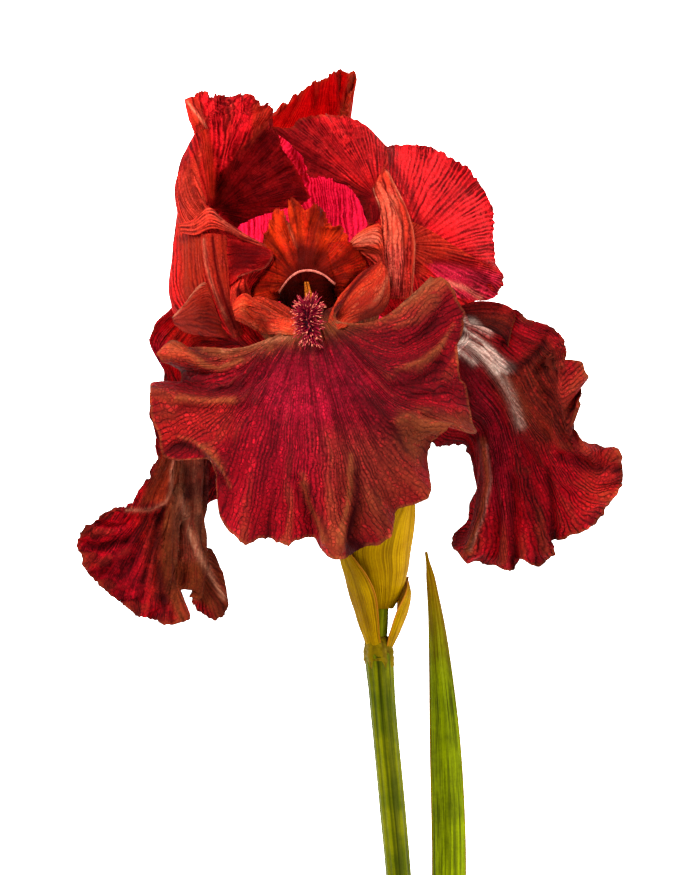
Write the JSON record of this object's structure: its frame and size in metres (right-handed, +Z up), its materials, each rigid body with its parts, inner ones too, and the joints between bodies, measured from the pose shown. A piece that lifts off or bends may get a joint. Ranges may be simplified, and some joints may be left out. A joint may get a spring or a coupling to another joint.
{
  "type": "bearded iris flower",
  "caption": "Cut bearded iris in full bloom lying on its back: dark red ruffled petals, bearded falls, style arms, spathe, stem and one sword leaf.",
  "frame": {"origin": "on the surface that the flower lies on, under the middle of its bounding box", "axes": "+Y along the stem from its cut end towards the bloom, +X to the right of the bloom as seen from above, +Z up from the surface, which is the way the front fall and its beard face"},
  "size_m": [0.136, 0.273, 0.0987],
  "materials": {
    "fall_petal": "velvety brick to dark red with dark veins, lighter and translucent at the thin margins",
    "standard_petal": "satin red, translucent, with dark veins and a brown sheen along the midrib",
    "back_petal": "translucent magenta red with dark veins",
    "style_arm": "orange brown, darker towards the throat, finely veined",
    "stigma_lip": "pale pink, matte",
    "beard": "maroon hairs with pale pink tips",
    "filament": "pale, matte",
    "anther": "brown, matte",
    "green_tissue": "satin yellow green",
    "spathe": "satin mustard olive, papery at the edges, with long fine veins",
    "stem": "smooth satin green with long fine ribs, moist pale cut end",
    "leaf": "satin green with long parallel veins and a pale edge"
  },
  "bodies": {
    "root": {"fall_front": "fall_petal", "fall_left": "fall_petal", "fall_right": "fall_petal", "standard_left": "standard_petal", "standard_right": "standard_petal", "standard_back": "back_petal", "style_front": "style_arm", "style_left": "style_arm", "style_right": "style_arm", "style_column": "style_arm", "stigma_lip_front": "stigma_lip", "stigma_lip_left": "stigma_lip", "stigma_lip_right": "stigma_lip", "beard_front": "beard", "beard_left": "beard", "beard_right": "beard", "filament_front": "filament", "filament_left": "filament", "filament_right": "filament", "anther_front": "anther", "anther_left": "anther", "anther_right": "anther", "perianth_tube": "green_tissue", "ovary": "green_tissue", "pedicel": "stem", "spathe_inner": "spathe", "spathe_left": "spathe", "spathe_right": "spathe", "stem": "stem", "leaf": "leaf"}
  },
  "joints": []
}
